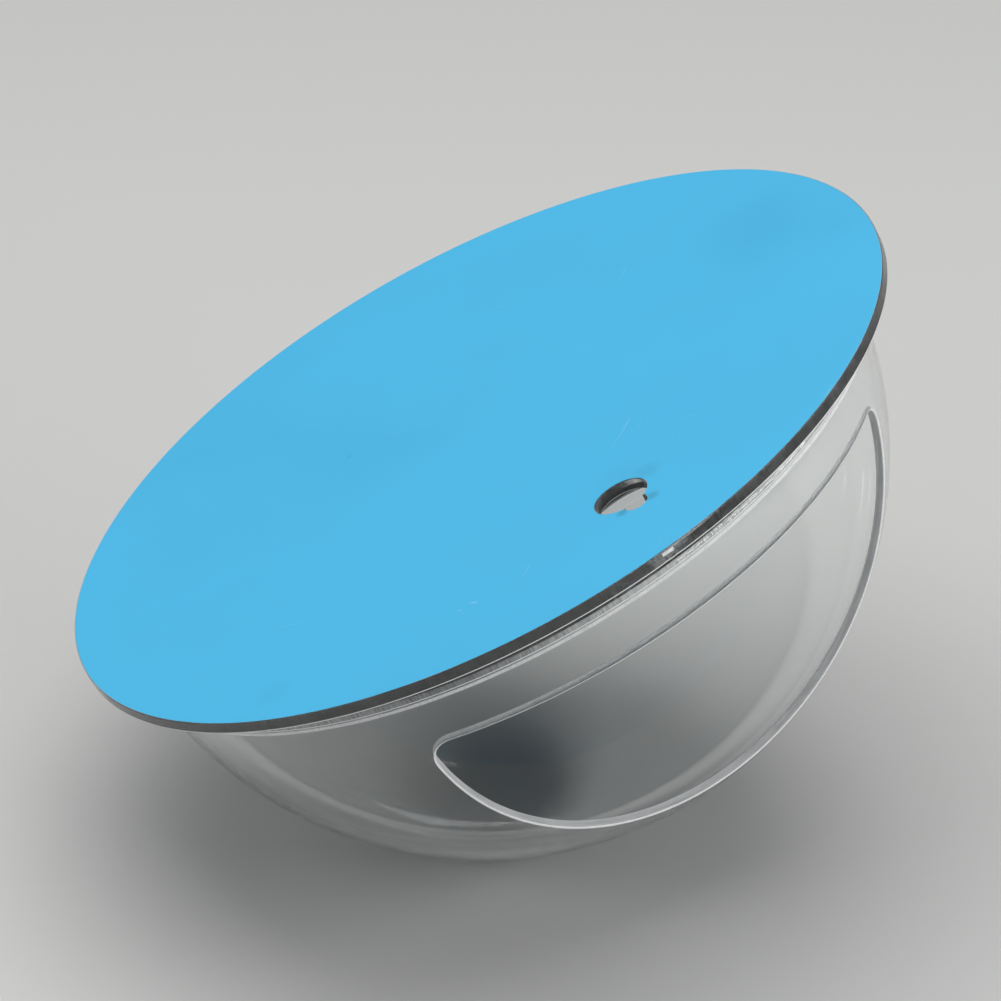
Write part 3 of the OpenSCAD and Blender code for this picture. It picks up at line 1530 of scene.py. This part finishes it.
@dataclass
class Studio:
    """The floor that the dome lies on, the soft lights and the pale surround.

    Attributes:
        view: The camera.
        dome: The dome.
        floor_size: Length of the floor's sides.
        floor_gap: Room left between the dome and the floor.
        surround: Colour of the light from all around.
        surround_strength: Its strength.
        lights: The soft lights.
    """

    view: PhotoView
    dome: Dome
    floor_size: float = 8.0
    floor_gap: float = 0.2 * MM
    surround: Colour = (0.80, 0.82, 0.84, 1.0)
    surround_strength: float = 0.22
    lights: tuple[Softbox, ...] = (
        Softbox("top_softbox", (-0.1, -0.2, 1.3), 1.5, 1.5, 19.0),
        Softbox("right_strip", (1.0, 0.4, 0.5), 0.25, 1.1, 8.0),
        Softbox("left_strip", (-1.0, 0.3, 0.4), 0.25, 0.9, 4.0),
    )

    def build(self, book: FinishBook) -> None:
        """Makes the floor, the lights and the surround.

        Args:
            book: The materials.
        """
        right, towards, up = self.view.floor_axes()
        ball = Vector((0.0, -self.dome.centre, 0.0))
        ground = ball - up * (self.dome.radius + self.floor_gap)
        turn = Matrix((right, -towards, up)).transposed().to_4x4()
        self._floor(Matrix.Translation(ground) @ turn, book)
        for box in self.lights:
            spot = ground + right * box.place[0] + towards * box.place[1] + up * box.place[2]
            self._light(box, spot, ball)
        world = bpy.data.worlds.new("pale_surround")
        world.use_nodes = True
        shade = world.node_tree.nodes["Background"]
        shade.inputs["Color"].default_value = self.surround
        shade.inputs["Strength"].default_value = self.surround_strength
        bpy.context.scene.world = world

    def _floor(self, place: Matrix, book: FinishBook) -> None:
        """Makes the floor and marks it as stage.

        Args:
            place: Its place and turn.
            book: The materials.
        """
        mesh = bpy.data.meshes.new("floor")
        half = self.floor_size / 2
        corners = [(-half, -half, 0.0), (half, -half, 0.0), (half, half, 0.0), (-half, half, 0.0)]
        mesh.from_pydata(corners, [], [(0, 1, 2, 3)])
        mesh.materials.append(book.floor)
        floor = bpy.data.objects.new("floor", mesh)
        floor.matrix_world = place
        bpy.context.scene.collection.objects.link(floor)

    @staticmethod
    def _light(box: Softbox, spot: Vector, target: Vector) -> None:
        """Makes one soft light.

        Args:
            box: The light's size and power.
            spot: Where it stands.
            target: What it faces.
        """
        data = bpy.data.lights.new(box.name, "AREA")
        data.shape = "RECTANGLE"
        data.size = box.width
        data.size_y = box.height
        data.energy = box.watts
        light = bpy.data.objects.new(box.name, data)
        light.location = spot
        light.rotation_mode = "QUATERNION"
        light.rotation_quaternion = (target - spot).to_track_quat("-Z", "Y")
        light.visible_camera = False
        bpy.context.scene.collection.objects.link(light)


@dataclass
class Tank:
    """The whole tank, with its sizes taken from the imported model.

    Attributes:
        record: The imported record.
        dome_r: Outer radius of the ball that the dome is part of.
        dome_wall: Thickness of the dome's wall.
        lip_t: Thickness of the dome's lip.
        head_room: Room around the keyhole for the head of the screw.
        mouth_back: Distance of the mouth's back edge from the tank back.
        mouth_height: Height of the mouth's floor where it would meet the back edge without a turn.
        mouth_tilt: Slope of the mouth's floor, down towards the front.
        mouth_turn_r: Radius of the mouth's turns.
        film_clearance: How much wider than the keyhole the film's hole is all round.
        film_t: Thickness of the film.
        film_lift: Height of its highest blister.
        dome: The dome.
        pieces: All the pieces, from the wall outwards.
    """

    record: dict
    # Sizes that the model's boxes and mounts don't give
    dome_r: float = 103.5 * MM
    dome_wall: float = 2.2 * MM
    lip_t: float = 1.5 * MM
    head_room: float = 5.0 * MM
    mouth_back: float = 15.8 * MM
    mouth_height: float = 71.0 * MM
    mouth_tilt: float = math.radians(10)
    mouth_turn_r: float = 7.0 * MM
    film_clearance: float = 0.25 * MM
    film_t: float = 0.05 * MM
    film_lift: float = 0.08 * MM
    dome: Dome = field(init=False)
    pieces: list[Piece] = field(init=False)

    def __post_init__(self) -> None:
        """Works out the pieces from the frame."""
        keyhole = Keyhole.from_record(self.record)
        hollow = Hollow.behind(keyhole, self.head_room)
        self.dome = self._dome()
        self.pieces = [
            self._film(keyhole),
            MountingPlate("plate", "mounting_plate", Slot.SHEET, *self._sheet("mounting_plate"), hollow,
                          keyhole=keyhole, spacer_r=self._radius("spacer_disc")),
            Spacer("spacer", "spacer_disc", Slot.SHEET, *self._sheet("spacer_disc", CEMENT), hollow),
            TankBack("back", "tank_back", Slot.SHEET, *self._sheet("tank_back", CEMENT), hollow,
                     lip_r=self.dome.lip_r, bowl_r=self.dome.bowl_r),
            self.dome,
        ]

    @staticmethod
    def _radius(node: str) -> float:
        """Radius of a round CAD node."""
        low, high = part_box(node)
        return min(-low.x, high.x)

    def _sheet(self, node: str, cement: float = 0.0) -> tuple[float, float, float]:
        """Radius, wall side and front side of a sheet, with the cemented side let in."""
        low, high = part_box(node)
        return self._radius(node), -high.y - cement, -low.y

    def _film(self, keyhole: Keyhole) -> Film:
        """The film, set so that its highest blister just reaches the wall.

        Args:
            keyhole: The keyhole.

        Returns:
            The film.
        """
        wall_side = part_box("protective_film")[1].y
        level = self.film_lift - wall_side
        return Film("film", "protective_film", Slot.FILM, radius=self._radius("protective_film"),
                    inner=level + self.film_t, level=level, lift=self.film_lift, keyhole=keyhole,
                    clearance=self.film_clearance)

    def _dome(self) -> Dome:
        """The dome with its mouth.

        Returns:
            The dome.
        """
        low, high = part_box("dome_shell")
        rim, front = -high.y, -low.y
        back_out = rim + self.mouth_back - (front - self.dome_r)
        mouth = Mouth(self.dome_r, back_out, self.mouth_height, self.mouth_tilt, self.mouth_turn_r)
        return Dome("dome", "dome_shell", Slot.DOME, radius=self.dome_r, wall=self.dome_wall, rim=rim,
                    front=front, lip_r=self._radius("dome_shell"), lip_t=self.lip_t, mouth=mouth)

    def build(self, book: FinishBook) -> None:
        """Builds all the pieces."""
        for piece in self.pieces:
            piece.build(book)


def main() -> None:
    """Builds the tank, the camera and the studio."""
    logging.basicConfig(level=logging.INFO, format="%(name)s: %(message)s")
    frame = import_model()
    bpy.context.scene.view_settings.view_transform = "Standard"
    bpy.context.scene.cycles.transparent_max_bounces = CEMENTED_FACES_PASSED
    book = FinishBook()
    tank = Tank(frame["record"])
    tank.build(book)
    view = PhotoView()
    view.place()
    Studio(view, tank.dome).build(book)
    bpy.context.view_layer.update()


if __name__ == "__main__":
    main()
